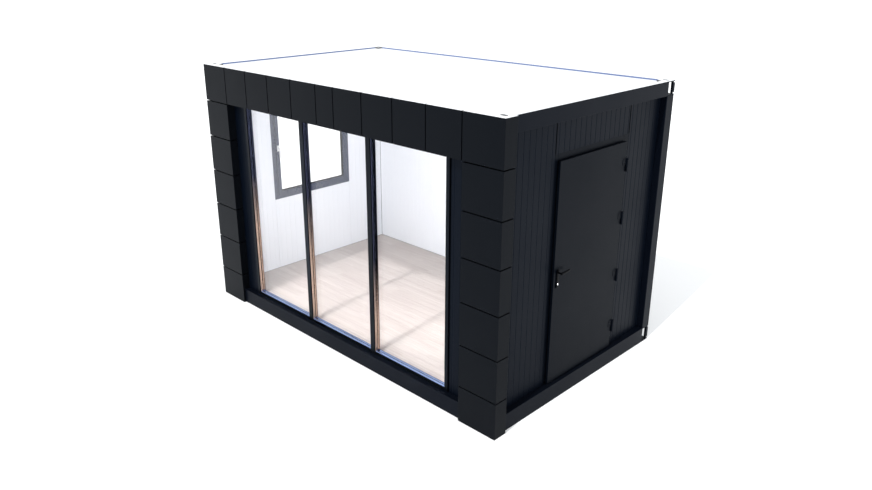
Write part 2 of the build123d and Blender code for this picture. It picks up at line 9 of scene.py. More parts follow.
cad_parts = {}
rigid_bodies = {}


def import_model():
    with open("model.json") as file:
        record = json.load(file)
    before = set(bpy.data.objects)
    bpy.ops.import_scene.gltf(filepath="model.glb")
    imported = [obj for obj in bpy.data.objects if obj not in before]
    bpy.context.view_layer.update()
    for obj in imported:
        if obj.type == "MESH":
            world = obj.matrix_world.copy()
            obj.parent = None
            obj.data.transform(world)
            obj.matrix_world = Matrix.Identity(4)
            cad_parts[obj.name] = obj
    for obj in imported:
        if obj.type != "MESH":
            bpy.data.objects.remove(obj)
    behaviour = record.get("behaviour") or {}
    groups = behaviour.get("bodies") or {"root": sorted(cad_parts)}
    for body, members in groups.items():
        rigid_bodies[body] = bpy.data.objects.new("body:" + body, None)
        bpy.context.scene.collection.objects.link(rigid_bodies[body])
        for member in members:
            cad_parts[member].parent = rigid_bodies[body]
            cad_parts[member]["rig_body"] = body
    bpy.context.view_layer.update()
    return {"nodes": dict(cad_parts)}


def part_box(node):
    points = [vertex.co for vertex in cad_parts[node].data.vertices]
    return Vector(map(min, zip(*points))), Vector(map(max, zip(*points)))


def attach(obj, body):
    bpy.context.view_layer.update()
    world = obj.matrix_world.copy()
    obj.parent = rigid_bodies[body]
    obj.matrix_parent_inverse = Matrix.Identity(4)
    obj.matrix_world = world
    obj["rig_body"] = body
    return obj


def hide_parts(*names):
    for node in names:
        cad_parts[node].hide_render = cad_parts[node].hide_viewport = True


bl_info = {
    "name": "Office container",
    "version": (1, 0, 0),
    "blender": (4, 5, 0),
    "location": "3D View > Sidebar > Container",
    "description": "Finishes and fittings of a glazed office container behind a tiled portal",
    "category": "Object",
}

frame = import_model()
NODES = frame["nodes"]

# Sizes that the frame doesn't carry, in metres
MULLION_WIDTH = 0.057
PANE_BITE = 0.012
SHEET_OF_GLASS = 0.004
REVEAL_DEPTH = 0.040
WALL_HALF = 0.030
ROOF_WHITE_FROM = 2.5992
RIM_INSET = 0.061
SPINDLE_Y = -0.3995
SPINDLE_Z = 1.198
LOCK_Z = 1.095
LEAF_FACE = 1.970
LEAF_INNER = 1.908
GASKET_PROUD = 0.003
HINGE_PLATE = 0.003
FLAP_SCREWS = ((-0.022, 0.014), (-0.022, 0.046), (-0.004, 0.030))
SEAL_WIDTH = 0.006
SEAL_HEIGHT = 0.0063
SEAL_INSET = 0.0006
SEAL_GAP = 0.0002
PLATE_CORNER = 0.0085
PLATE_EDGE = 0.0015
COLLAR_RADIUS = 0.0125
NECK_RADIUS = 0.008
LOCK_RADIUS = 0.009
KEYWAY_SUNK = 0.0001
KEYWAY_PROUD = 0.0003
KEYWAY_HALF_WIDTH = 0.0008
KEYWAY_HALF_HEIGHT = 0.0045
LEVER_HALF = 0.010
LEVER_THICKNESS = 0.014
LEVER_BEND = 0.006
LEVER_EDGE = 0.0045

# Not lengths: a share of the height, a count and an angle in degrees
LEVER_TAPER = 0.18
LEVER_SLICES = 12
SHARP_ANGLE = 35

# The picture in pixels, and the camera and sun solved from it
PICTURE_WIDTH = 872
PICTURE_HEIGHT = 490
FOCAL_LENGTH = 753.36
OPTICAL_CENTRE = (424.30, 230.42)
SENSOR_WIDTH = 36.0
CAMERA_PLACE = (5.2444, -5.2011, 3.6245)
CAMERA_TURN = (70.1792, 0.0616, 45.1258)
SUN_TRAVEL = (-0.125, 1.0, -1.19)
ROOM_FILLS = (
    # name, share of the room light, place, turn in degrees
    ("ceiling_fill", 0.08, (0.0, 0.05, 2.42), (0, 0, 0)),
    ("front_fill", 1.75, (0.4, -1.0, 1.35), (90, 0, 12)),
)


# Sizes, colours and light that a user may change


def colour(name, description, default):
    return FloatVectorProperty(
        name=name, description=description, default=default,
        subtype="COLOR", size=3, min=0.0, max=1.0,
    )


def amount(name, description, default, **more):
    return FloatProperty(name=name, description=description, default=default, min=0.0, **more)


def length(name, description, default):
    return amount(name, description, default, unit="LENGTH", precision=4)


class ContainerColours(bpy.types.PropertyGroup):
    """Colours of the paints, boards and trims"""

    anthracite: colour("Anthracite", "Paint of the steel frame", (0.0023, 0.0035, 0.0068))
    wall: colour("Wall", "Paint on the outside of the wall panels", (0.0018, 0.0033, 0.0070))
    door: colour("Door", "Paint of the door and its frame", (0.0018, 0.0029, 0.0053))
    tile: colour("Tile", "Paint of the portal tiles", (0.0024, 0.0030, 0.0042))
    profile: colour("Profile", "Finish of the glazing bars and the window",
                    (0.0020, 0.0028, 0.0044))
    window: colour("Window", "Finish of the end window", (0.046, 0.054, 0.092))
    # The three bead colours are painted reflections: the lit floor below, darker surroundings
    # higher up, and the sky along the sill
    bead_floor_reflection: colour("Bead below", "Polished bead near the floor", (0.60, 0.45, 0.37))
    bead_dark_reflection: colour("Bead above", "Polished bead higher up", (0.050, 0.056, 0.095))
    bead_sky_reflection: colour("Bead on the sill", "Polished bead along the sill", (0.36, 0.47, 0.78))
    # The upstand colour is painted sky light on the shaded inner face of the rim
    upstand_painted_skylight: colour("Upstand", "Coat on the inner face of the roof's rim", (0.16, 0.21, 0.38))
    room_white: colour("Room white", "Inner face of the wall panels", (0.90, 0.92, 0.96))
    roof_white: colour("Roof white", "Roof sheet and the tops of the rails", (0.86, 0.87, 0.88))
    oak_light: colour("Light oak", "Lighter wood of the planks", (0.524, 0.466, 0.430))
    oak_dark: colour("Dark oak", "Grain of the planks", (0.376, 0.310, 0.286))
    sheen: colour("Sheen", "Tint of the paint's reflections", (0.57, 0.73, 1.0))
    rubber: colour("Rubber", "Gaskets, seals and joints", (0.0008, 0.0008, 0.0010))
    primer: colour("Primer", "Steel under the floor and over the ceiling", (0.16, 0.165, 0.17))
    white_handle: colour("White handle", "Handle of the end window", (0.78, 0.78, 0.78))
    black_metal: colour("Black metal", "Levers, plates and screws of the door",
                        (0.0010, 0.0011, 0.0014))
    raw_board: colour("Raw board", "Board under the planks", (0.46, 0.34, 0.22))


class ContainerSizes(bpy.types.PropertyGroup):
    """Sizes of the small parts"""

    edge_radius: length("Edge radius", "Rounding of folded steel edges", 0.0022)
    tile_edge: length("Tile edge", "Rounding of the tile edges", 0.0014)
    plank_length: length("Plank length", "Length of one laminate plank", 1.285)
    plank_width: length("Plank width", "Width of one laminate plank", 0.192)
    plank_bevel: length("Plank bevel", "Bevel round the top of a plank", 0.0007)
    gasket_width: length("Gasket width", "Rubber that shows round a pane", 0.0028)
    bead_bulge: length("Bead bulge", "How far a glazing bead stands into the opening", 0.004)
    screw_radius: length("Screw radius", "Head of a hinge or plate screw", 0.0042)
    round_steps: IntProperty(
        name="Round steps", description="Segments in the rounding of a folded edge",
        default=2, min=1, max=6,
    )


class ContainerLight(bpy.types.PropertyGroup):
    """Light and floor of the stage"""

    sun_strength: amount("Sun strength", "Strength of the key light", 1.8)
    sun_softness: amount("Sun softness", "Angle that the key light fills", math.radians(0.6),
                         max=1.0, subtype="ANGLE")
    sky_strength: amount("Sky strength", "Strength of the even light all round", 1.05)
    room_light: amount("Room light", "Power of the fill light in the room, in watts", 22.5)
    floor_colour: colour("Floor", "Pale floor of the stage", (0.94, 0.94, 0.94))


# Shader nodes


def palette():
    """The colours that are set in the sidebar."""
    return bpy.context.scene.container_colours


def add(tree, kind, **values):
    """A new node with its plain settings."""
    node = tree.nodes.new(kind)
    for name, value in values.items():
        setattr(node, name, value)
    return node


def fill(node, values):
    """Sets sockets by name; a colour is given by its three parts."""
    for name, value in values.items():
        node.inputs[name].default_value = value if isinstance(value, float) else (*value, 1.0)


def axes(tree, vector):
    """The sockets X, Y and Z of a vector."""
    node = add(tree, "ShaderNodeSeparateXYZ")
    tree.links.new(vector, node.inputs[0])
    return node.outputs


def mixed(tree, factor, first, second):
    """A colour between two others; each may be a socket or a plain value."""
    node = add(tree, "ShaderNodeMix", data_type="RGBA")
    for socket, value in ((node.inputs[0], factor), (node.inputs[6], first),
                          (node.inputs[7], second)):
        if isinstance(value, bpy.types.NodeSocket):
            tree.links.new(value, socket)
        else:
            socket.default_value = value if isinstance(value, float) else (*value, 1.0)
    return node.outputs[2]


def maths(tree, operation, first, second=0.0):
    """One sum; each side may be a socket or a number."""
    node = add(tree, "ShaderNodeMath", operation=operation)
    for socket, value in zip(node.inputs, (first, second)):
        if isinstance(value, bpy.types.NodeSocket):
            tree.links.new(value, socket)
        else:
            socket.default_value = value
    return node.outputs[0]


def ranged(tree, value, low, high, to_low=0.0, to_high=1.0):
    """A value moved from one range to another, and held within it."""
    node = add(tree, "ShaderNodeMapRange")
    tree.links.new(value, node.inputs["Value"])
    fill(node, {"From Min": low, "From Max": high, "To Min": to_low, "To Max": to_high})
    return node.outputs["Result"]


def stretched(tree, vector, scale):
    """The coordinates times a plain factor along each axis."""
    node = add(tree, "ShaderNodeVectorMath", operation="MULTIPLY")
    tree.links.new(vector, node.inputs[0])
    node.inputs[1].default_value = scale
    return node.outputs["Vector"]


def noise(tree, vector, scale, detail=3.0, roughness=0.5, distortion=0.0):
    """Soft noise in three dimensions."""
    node = add(tree, "ShaderNodeTexNoise")
    tree.links.new(vector, node.inputs["Vector"])
    fill(node, {"Scale": scale, "Detail": detail, "Roughness": roughness,
                "Distortion": distortion})
    return node.outputs["Fac"]


def new_group(name, inputs):
    """An empty node group that gives a colour, a roughness and a height."""
    tree = bpy.data.node_groups.new(name, "ShaderNodeTree")
    for label, kind, default in (("Vector", "Vector", None),) + inputs:
        socket = tree.interface.new_socket(
            label, in_out="INPUT", socket_type="NodeSocket" + kind)
        if default is not None:
            socket.default_value = default
    for label, kind in (("Colour", "Color"), ("Roughness", "Float"), ("Height", "Float")):
        tree.interface.new_socket(label, in_out="OUTPUT", socket_type="NodeSocket" + kind)
    return tree, add(tree, "NodeGroupInput"), add(tree, "NodeGroupOutput")


def paint_film_group():
    """Sprayed paint: a broad drift of tone, thin dust and a fine orange peel."""
    tree, start, end = new_group(
        "Paint Film",
        (("Colour", "Color", None), ("Dust Colour", "Color", (0.10, 0.10, 0.105, 1.0)),
         ("Dust", "Float", 0.01), ("Roughness", "Float", 0.4)),
    )
    vector = start.outputs["Vector"]
    broad = noise(tree, vector, 1.4, 4.0, 0.55)
    streaks = noise(tree, stretched(tree, vector, (9.0, 9.0, 0.7)), 1.0, 4.0, 0.6)
    foot = ranged(tree, axes(tree, vector)["Z"], 0.0, 0.5, 1.0, 0.25)
    drift = ranged(tree, maths(tree, "MULTIPLY", broad, streaks), 0.12, 0.42)
    dust = maths(tree, "MULTIPLY", maths(tree, "MULTIPLY", drift, foot), start.outputs["Dust"])
    shade = mixed(tree, dust, start.outputs["Colour"], start.outputs["Dust Colour"])
    tree.links.new(shade, end.inputs["Colour"])
    dull = ranged(tree, broad, 0.3, 0.7, -0.05, 0.06)
    tree.links.new(maths(tree, "ADD", start.outputs["Roughness"], dull), end.inputs["Roughness"])
    tree.links.new(noise(tree, vector, 420.0, 2.0, 0.5), end.inputs["Height"])
    return tree


def wood_grain_group():
    """Laminate with an oak print: long fibres, darker year rings and a tone for each plank."""
    tree, start, end = new_group(
        "Oak Grain",
        (("Shift", "Float", 0.0), ("Tone", "Float", 0.5), ("Light", "Color", None),
         ("Dark", "Color", None)),
    )
    place = add(tree, "ShaderNodeCombineXYZ")
    for axis in ("X", "Y", "Z"):
        tree.links.new(start.outputs["Shift"], place.inputs[axis])
    moved = add(tree, "ShaderNodeVectorMath", operation="ADD")
    tree.links.new(start.outputs["Vector"], moved.inputs[0])
    tree.links.new(place.outputs[0], moved.inputs[1])
    vector = moved.outputs[0]
    fibre = noise(tree, stretched(tree, vector, (0.9, 28.0, 28.0)), 1.7, 7.0, 0.68, 0.2)
    strips = add(tree, "ShaderNodeTexBrick")
    tree.links.new(start.outputs["Vector"], strips.inputs["Vector"])
    fill(strips, {"Scale": 1.0, "Mortar Size": 0.0, "Brick Width": 0.43, "Row Height": 0.064,
                  "Color1": (0.0, 0.0, 0.0), "Color2": (1.0, 1.0, 1.0)})
    pores = noise(tree, stretched(tree, vector, (14.0, 420.0, 420.0)), 1.0, 2.0, 0.6)
    rings = add(tree, "ShaderNodeTexWave", wave_type="BANDS", bands_direction="Y")
    tree.links.new(stretched(tree, vector, (0.5, 8.0, 8.0)), rings.inputs["Vector"])
    fill(rings, {"Scale": 1.1, "Distortion": 7.0, "Detail": 3.0, "Detail Scale": 0.9,
                 "Detail Roughness": 0.55})
    grain = maths(tree, "ADD",
                  maths(tree, "MULTIPLY", ranged(tree, fibre, 0.35, 0.7), 0.55),
                  maths(tree, "MULTIPLY", rings.outputs["Fac"], 0.30))
    grain = maths(tree, "ADD", grain,
                  maths(tree, "MULTIPLY", ranged(tree, pores, 0.58, 0.72), 0.22))
    tone = maths(tree, "ADD", ranged(tree, start.outputs["Tone"], 0.0, 1.0, -0.14, 0.14),
                 ranged(tree, strips.outputs["Color"], 0.0, 1.0, -0.14, 0.14))
    amount = maths(tree, "ADD", grain, tone)
    amount.node.use_clamp = True
    tree.links.new(mixed(tree, amount, start.outputs["Light"], start.outputs["Dark"]),
                   end.inputs["Colour"])
    tree.links.new(ranged(tree, fibre, 0.3, 0.7, 0.36, 0.5), end.inputs["Roughness"])
    tree.links.new(maths(tree, "SUBTRACT", 1.0, grain), end.inputs["Height"])
    return tree


def brushed_group():
    """Bare metal with fine upright lines and a faint cloud of tarnish."""
    tree, start, end = new_group(
        "Brushed Lines",
        (("Colour", "Color", None), ("Roughness", "Float", 0.3)),
    )
    vector = start.outputs["Vector"]
    lines = noise(tree, stretched(tree, vector, (900.0, 900.0, 12.0)), 1.0, 2.0, 0.6)
    cloud = noise(tree, vector, 9.0, 3.0)
    dark = mixed(tree, ranged(tree, cloud, 0.3, 0.8, 0.0, 0.35),
                 start.outputs["Colour"], (0.10, 0.10, 0.105))
    tree.links.new(dark, end.inputs["Colour"])
    tree.links.new(maths(tree, "ADD", start.outputs["Roughness"],
                         ranged(tree, lines, 0.3, 0.7, -0.06, 0.06)), end.inputs["Roughness"])
    tree.links.new(lines, end.inputs["Height"])
    return tree


def board_group():
    """Pressed board or skim coat: small chips and a soft drift of tone."""
    tree, start, end = new_group(
        "Board Face",
        (("Colour", "Color", None), ("Fleck Colour", "Color", None), ("Fleck", "Float", 0.4),
         ("Scale", "Float", 40.0)),
    )
    vector = start.outputs["Vector"]
    chips = add(tree, "ShaderNodeTexVoronoi")
    tree.links.new(vector, chips.inputs["Vector"])
    tree.links.new(start.outputs["Scale"], chips.inputs["Scale"])
    cloud = noise(tree, vector, 2.0, 4.0)
    level = maths(tree, "MULTIPLY", start.outputs["Fleck"],
                  maths(tree, "MULTIPLY", chips.outputs["Distance"], cloud))
    tree.links.new(mixed(tree, level, start.outputs["Colour"], start.outputs["Fleck Colour"]),
                   end.inputs["Colour"])
    tree.links.new(ranged(tree, cloud, 0.3, 0.7, 0.5, 0.65), end.inputs["Roughness"])
    tree.links.new(chips.outputs["Distance"], end.inputs["Height"])
    return tree


GROUP_MAKERS = {
    "Paint Film": paint_film_group,
    "Oak Grain": wood_grain_group,
    "Brushed Lines": brushed_group,
    "Board Face": board_group,
}


def group_node(tree, name, place, values):
    """A shared group on those coordinates, built the first time it is used."""
    made = bpy.data.node_groups.get(name) or GROUP_MAKERS[name]()
    node = add(tree, "ShaderNodeGroup", node_tree=made)
    tree.links.new(place, node.inputs["Vector"])
    fill(node, values)
    return node


def blank(name, roughness=0.4, level=0.5, metal=0.0):
    """A material with only its Principled shader, and the object's own coordinates."""
    material = bpy.data.materials.new(name)
    material.use_nodes = True
    tree = material.node_tree
    shader = tree.nodes["Principled BSDF"]
    fill(shader, {"Roughness": roughness, "Specular IOR Level": level, "Metallic": metal})
    place = add(tree, "ShaderNodeTexCoord").outputs["Object"]
    return material, tree, shader, place


def finish_with(tree, shader, node, bump=0.0, distance=0.0005):
    """Feeds the shader from a group node's colour, roughness and height."""
    tree.links.new(node.outputs["Colour"], shader.inputs["Base Color"])
    tree.links.new(node.outputs["Roughness"], shader.inputs["Roughness"])
    if bump > 0.0:
        relief = add(tree, "ShaderNodeBump")
        fill(relief, {"Strength": bump, "Distance": distance})
        tree.links.new(node.outputs["Height"], relief.inputs["Height"])
        tree.links.new(relief.outputs["Normal"], shader.inputs["Normal"])


def painted(name, base, roughness=0.42, level=0.062, dust=0.012, bump=0.06):
    """Satin paint on steel."""
    material, tree, shader, place = blank(name, roughness, level)
    fill(shader, {"Specular Tint": palette().sheen})
    film = group_node(tree, "Paint Film", place,
                      {"Colour": base, "Dust": dust, "Roughness": roughness})
    finish_with(tree, shader, film, bump)
    return material, tree, shader, place, film


def all_of(tree, *tests):
    """One where every test (operation, socket, number) holds."""
    held = 1.0
    for operation, socket, number in tests:
        held = maths(tree, "MULTIPLY", maths(tree, operation, socket, number), held)
    return held


def white_above(tree, place, under, shader):
    """Every face above ROOF_WHITE_FROM takes the roof white."""
    top = maths(tree, "GREATER_THAN", axes(tree, place)["Z"], ROOF_WHITE_FROM)
    tree.links.new(mixed(tree, top, under, palette().roof_white), shader.inputs["Base Color"])


def rail_steel():
    """Rails have a coat on the rim that stands up round the roof sheet; its blue-grey is painted
    sky light on a face in shade.
    """
    colours = palette()
    material, tree, shader, place, film = painted("Rail steel", colours.anthracite)
    parts = axes(tree, place)
    inner_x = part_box("right_top_rail")[1].x - RIM_INSET
    inner_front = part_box("front_top_rail")[0].y + RIM_INSET
    inner_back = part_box("back_top_rail")[1].y - RIM_INSET
    # The rim's inner faces above the roof sheet take the upstand colour, a painted sky light
    rim = all_of(
        tree,
        ("GREATER_THAN", parts["Z"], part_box("roof_sheet")[1].z),
        ("LESS_THAN", maths(tree, "ABSOLUTE", parts["X"]), inner_x),
        ("GREATER_THAN", parts["Y"], inner_front),
        ("LESS_THAN", parts["Y"], inner_back),
    )
    coated = mixed(tree, rim, film.outputs["Colour"], colours.upstand_painted_skylight)
    white_above(tree, place, coated, shader)
    return material


def white_topped(name, base, roughness):
    """Paint in one colour of the palette, white on top."""
    material, tree, shader, place, film = painted(name, getattr(palette(), base), roughness)
    white_above(tree, place, film.outputs["Colour"], shader)
    return material


def wall_panel():
    """Anthracite on the outer skin of a wall panel and white on the inner one."""
    colours = palette()
    material, tree, shader, place, film = painted("Wall panel", colours.wall, 0.40, bump=0.02)
    low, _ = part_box("left_wall_panels")
    _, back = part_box("back_wall_panels")
    front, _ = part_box("front_wall_lintel")
    parts = axes(tree, place)
    inside = all_of(
        tree,
        ("LESS_THAN", maths(tree, "ABSOLUTE", parts["X"]), -low.x - WALL_HALF),
        ("GREATER_THAN", parts["Y"], front.y + WALL_HALF),
        ("LESS_THAN", parts["Y"], back.y - WALL_HALF),
    )
    skin = group_node(tree, "Paint Film", place, {
        "Colour": colours.room_white, "Dust Colour": (0.62, 0.62, 0.66), "Dust": 0.03})
    tree.links.new(mixed(tree, inside, film.outputs["Colour"], skin.outputs["Colour"]),
                   shader.inputs["Base Color"])
    return material


def window_coat():
    """Grey towards the room, and as dark as the wall on the weather side."""
    colours = palette()
    material, tree, shader, place, film = painted(
        "End window", colours.window, 0.35, 0.2, dust=0.0, bump=0.02)
    outside = maths(tree, "LESS_THAN", axes(tree, place)["X"],
                    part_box("left_wall_panels")[0].x + WALL_HALF)
    tree.links.new(mixed(tree, outside, film.outputs["Colour"], colours.profile),
                   shader.inputs["Base Color"])
    return material


def bead_metal():
    """Polished bead with painted reflections: warm near the floor as if it mirrored the lit floor,
    dark higher up, and blue along the sill as if it mirrored the sky.
    """
    colours = palette()
    material, tree, shader, place = blank("Glazing bead", 0.20, 0.5, 1.0)
    lines = group_node(tree, "Brushed Lines", place, {"Roughness": 0.20})
    tree.links.new(lines.outputs["Roughness"], shader.inputs["Roughness"])
    parts = axes(tree, place)
    # Painted reflection: the bead's colour runs from the floor's warm reflection to a dark one
    # with height, slanted along the front
    along = maths(tree, "MULTIPLY", maths(tree, "MAXIMUM", parts["X"], -0.5), 0.4)
    slant = maths(tree, "ADD", parts["Z"], along)
    tone = mixed(tree, ranged(tree, slant, 0.75, 1.30), colours.bead_floor_reflection, colours.bead_dark_reflection)
    low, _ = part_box("glazing_panes")
    # Painted reflection of the sky on the bead along the sill
    sill = maths(tree, "LESS_THAN", parts["Z"], low.z + PANE_BITE + 0.005)
    tree.links.new(mixed(tree, sill, tone, colours.bead_sky_reflection), shader.inputs["Base Color"])
    return material


def clear_glass():
    """Glass that lets lamps through, so that the room is lit by what is outside."""
    material, tree, shader, _ = blank("Glass", 0.0)
    fill(shader, {"Base Color": (1.0, 1.0, 1.0), "IOR": 1.22, "Transmission Weight": 1.0})
    clear = add(tree, "ShaderNodeBsdfTransparent")
    fill(clear, {"Color": (0.97, 0.975, 0.98)})
    path = add(tree, "ShaderNodeLightPath")
    either = add(tree, "ShaderNodeMixShader")
    tree.links.new(path.outputs["Is Shadow Ray"], either.inputs[0])
    tree.links.new(shader.outputs[0], either.inputs[1])
    tree.links.new(clear.outputs[0], either.inputs[2])
    tree.links.new(either.outputs[0], tree.nodes["Material Output"].inputs["Surface"])
    return material


def oak_planks():
    """Laminate planks, each with its own tone and place in the print."""
    colours = palette()
    material, tree, shader, place = blank("Oak laminate", 0.42, 0.35)
    grain = group_node(tree, "Oak Grain", place,
                       {"Light": colours.oak_light, "Dark": colours.oak_dark})
    for layer, socket in (("plank_shift", "Shift"), ("plank_tone", "Tone")):
        reader = add(tree, "ShaderNodeAttribute", attribute_name=layer)
        tree.links.new(reader.outputs["Fac"], grain.inputs[socket])
    finish_with(tree, shader, grain, 0.12, 0.0004)
    return material


def board(name, base, fleck, share, scale):
    """A board or skim coat in a colour of the palette, with flecks of another."""
    material, tree, shader, place = blank(name, 0.6, 0.3)
    face = group_node(tree, "Board Face", place, {
        "Colour": getattr(palette(), base), "Fleck Colour": fleck, "Fleck": share,
        "Scale": scale})
    finish_with(tree, shader, face, 0.05)
    return material


def plain_paint(name, base, *film):
    """Paint in one colour of the palette."""
    return painted(name, getattr(palette(), base), *film)[0]


def metal(name, base, roughness):
    """Brushed bare metal."""
    material, tree, shader, place = blank(name, roughness, 0.5, 1.0)
    lines = group_node(tree, "Brushed Lines", place, {"Colour": base, "Roughness": roughness})
    finish_with(tree, shader, lines, 0.05)
    return material


# Each finish has its maker, then what the maker is given. A plain paint is given its roughness,
# reflection, dust and bump; a board its flecks, their share and their scale.
FINISH_MAKERS = {
    "frame_steel": (white_topped, "Frame steel", "anthracite", 0.42),
    "cladding": (white_topped, "Portal tiles", "tile", 0.38),
    "rail_steel": (rail_steel,),
    "wall_panel": (wall_panel,),
    "window": (window_coat,),
    "bead": (bead_metal,),
    "glass": (clear_glass,),
    "floor_finish": (oak_planks,),
    "door_steel": (plain_paint, "Door steel", "door", 0.36, 0.046),
    "window_profile": (plain_paint, "Window profile", "profile", 0.30, 0.09, 0.004, 0.03),
    "rubber": (plain_paint, "Rubber", "rubber", 0.7, 0.02, 0.0, 0.15),
    "primed_steel": (plain_paint, "Primed steel", "primer", 0.6, 0.3, 0.2, 0.2),
    "white_handle": (plain_paint, "White plastic", "white_handle", 0.28, 0.5, 0.05, 0.02),
    "black_metal": (plain_paint, "Black metal", "black_metal", 0.34, 0.035, 0.0, 0.03),
    "floor_board": (board, "Raw board", "raw_board", (0.24, 0.15, 0.08), 1.8, 60.0),
    "ceiling": (board, "Ceiling board", "room_white", (0.70, 0.70, 0.72), 0.25, 25.0),
    "roof_white": (board, "Roof coat", "roof_white", (0.66, 0.66, 0.66), 0.35, 6.0),
    "bright_metal": (metal, "Bright metal", (0.80, 0.80, 0.81), 0.18),
    "threshold": (metal, "Threshold", (0.50, 0.50, 0.51), 0.38),
}
made_finishes = {}


def finish(name):
    """The material of that name, built the first time that it is asked for."""
    if name not in made_finishes:
        maker, *given = FINISH_MAKERS[name]
        made_finishes[name] = maker(*given)
    return made_finishes[name]


# Making pieces


def dress(node, name):
    """Gives a node of the frame its finish."""
    mesh = NODES[node].data
    mesh.materials.clear()
    mesh.materials.append(finish(name))


def placed(name, data):
    """A new object in the scene."""
    made = bpy.data.objects.new(name, data)
    bpy.context.scene.collection.objects.link(made)
    return made


def piece(name, bm, material, body, replaced=(), smooth=0.0):
    """Turns a bmesh into a piece that rides on a body. It is smooth up to an angle in degrees."""
    mesh = bpy.data.meshes.new(name)
    bm.to_mesh(mesh)
    bm.free()
    mesh.materials.append(finish(material))
    if smooth > 0.0:
        mesh.shade_smooth()
        mesh.set_sharp_from_angle(angle=math.radians(smooth))
    made = placed(name, mesh)
    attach(made, body)
    if replaced:
        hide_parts(*replaced)
    return made


def sharp_edges(bm, least=0.0):
    """The edges that fold more than SHARP_ANGLE and aren't shorter than the least length."""
    return [
        e for e in bm.edges
        if len(e.link_faces) == 2 and e.calc_face_angle(0.0) > math.radians(SHARP_ANGLE)
        and e.calc_length() >= least
    ]


def rounded(bm, edges, radius, steps):
    """Rounds edges in that many steps."""
    bmesh.ops.bevel(
        bm, geom=edges, offset=radius, offset_type="OFFSET", segments=steps, profile=0.5,
        affect="EDGES", material=-1, clamp_overlap=True,
    )


def eased(node, material, radius, steps=None, least=0.0):
    """A copy of a node with its folded or sawn edges rounded, in the node's place."""
    sizes = bpy.context.scene.container_sizes
    bm = bmesh.new()
    bm.from_mesh(NODES[node].data)
    bmesh.ops.remove_doubles(bm, verts=bm.verts, dist=2e-5)
    bmesh.ops.dissolve_limit(bm, angle_limit=math.radians(0.5), verts=bm.verts, edges=bm.edges)
    rounded(bm, sharp_edges(bm, least), radius, steps or sizes.round_steps)
    body = NODES[node]["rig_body"]
    return piece(node + "_eased", bm, material, body, (node,))


def edges_of(verts):
    """Every edge that meets these vertices, in the same order each run."""
    return list(dict.fromkeys(e for v in verts for e in v.link_edges))


def block(bm, low, high, radius=0.0, steps=2):
    """A box between two corners with rounded edges, added to a bmesh."""
    made = bmesh.ops.create_cube(bm, size=1.0)["verts"]
    low = Vector(low)
    high = Vector(high)
    bmesh.ops.scale(bm, vec=high - low, verts=made)
    bmesh.ops.translate(bm, vec=(low + high) / 2, verts=made)
    if radius > 0.0:
        rounded(bm, edges_of(made), radius, steps)
    return made


# How a flat piece's own sides lie in the frame: along, up, and into the object
FRONT = Matrix(((1, 0, 0, 0), (0, 0, 1, 0), (0, 1, 0, 0), (0, 0, 0, 1)))
LEFT_END = Matrix(((0, 0, 1, 0), (1, 0, 0, 0), (0, 1, 0, 0), (0, 0, 0, 1)))


def ring(bm, lie, centre, size, profile):
    """A frame of one closed profile round an opening. The profile is (outwards, inwards into
    the object) from the opening's edge."""
    width, height = size
    made = bmesh.ops.create_circle(
        bm, segments=4, radius=math.sqrt(0.5), matrix=Matrix.Rotation(math.radians(45), 4, "Z")
    )["verts"]
    corners = list(made)
    edges = edges_of(made)
    out, depth = profile[0]
    bmesh.ops.scale(bm, vec=(width + 2 * out, height + 2 * out, 1.0), verts=corners)
    bmesh.ops.translate(bm, vec=(0.0, 0.0, depth), verts=corners)
    for new_out, new_depth in profile[1:] + profile[:1]:
        grown = bmesh.ops.extrude_edge_only(bm, edges=edges)["geom"]
        verts = [g for g in grown if isinstance(g, bmesh.types.BMVert)]
        edges = [g for g in grown if isinstance(g, bmesh.types.BMEdge)
                 and all(v in verts for v in g.verts)]
        bmesh.ops.scale(
            bm, vec=((width + 2 * new_out) / (width + 2 * out),
                     (height + 2 * new_out) / (height + 2 * out), 1.0), verts=verts,
        )
        bmesh.ops.translate(bm, vec=(0.0, 0.0, new_depth - depth), verts=verts)
        made += verts
        out, depth = new_out, new_depth
    bmesh.ops.transform(bm, matrix=Matrix.Translation(centre) @ lie, verts=made)


def closed(bm):
    """Merges what meets and turns every face outwards."""
    bmesh.ops.remove_doubles(bm, verts=bm.verts, dist=1e-6)
    bmesh.ops.recalc_face_normals(bm, faces=bm.faces)


def stub(bm, centre, facing, segments, radius, top_radius, thick):
    """A round plug that stands thick above a surface, and its top face."""
    turn = Vector((0, 0, 1)).rotation_difference(facing).to_matrix().to_4x4()
    made = bmesh.ops.create_cone(
        bm, cap_ends=True, segments=segments, radius1=radius, radius2=top_radius, depth=thick,
        matrix=Matrix.Translation(Vector(centre) + facing * thick / 2) @ turn,
    )["verts"]
    return max({f for v in made for f in v.link_faces},
               key=lambda f: f.calc_center_median().dot(facing))


def disc(bm, centre, facing, radius, thick, rim):
    """A round plate on a surface, with a bevelled rim."""
    top = stub(bm, centre, Vector(facing), 24, radius, radius, thick)
    rounded(bm, list(top.edges), rim, 2)


def screw(bm, centre, facing, radius):
    """A pan-head screw with a round socket."""
    facing = Vector(facing)
    thick = radius * 0.5
    top = stub(bm, centre, facing, 16, radius, radius * 0.72, thick)
    bmesh.ops.inset_region(bm, faces=[top], thickness=radius * 0.3, use_even_offset=True)
    bmesh.ops.translate(bm, vec=-facing * thick * 0.7, verts=list(top.verts))


# Operators, one for each group of like pieces


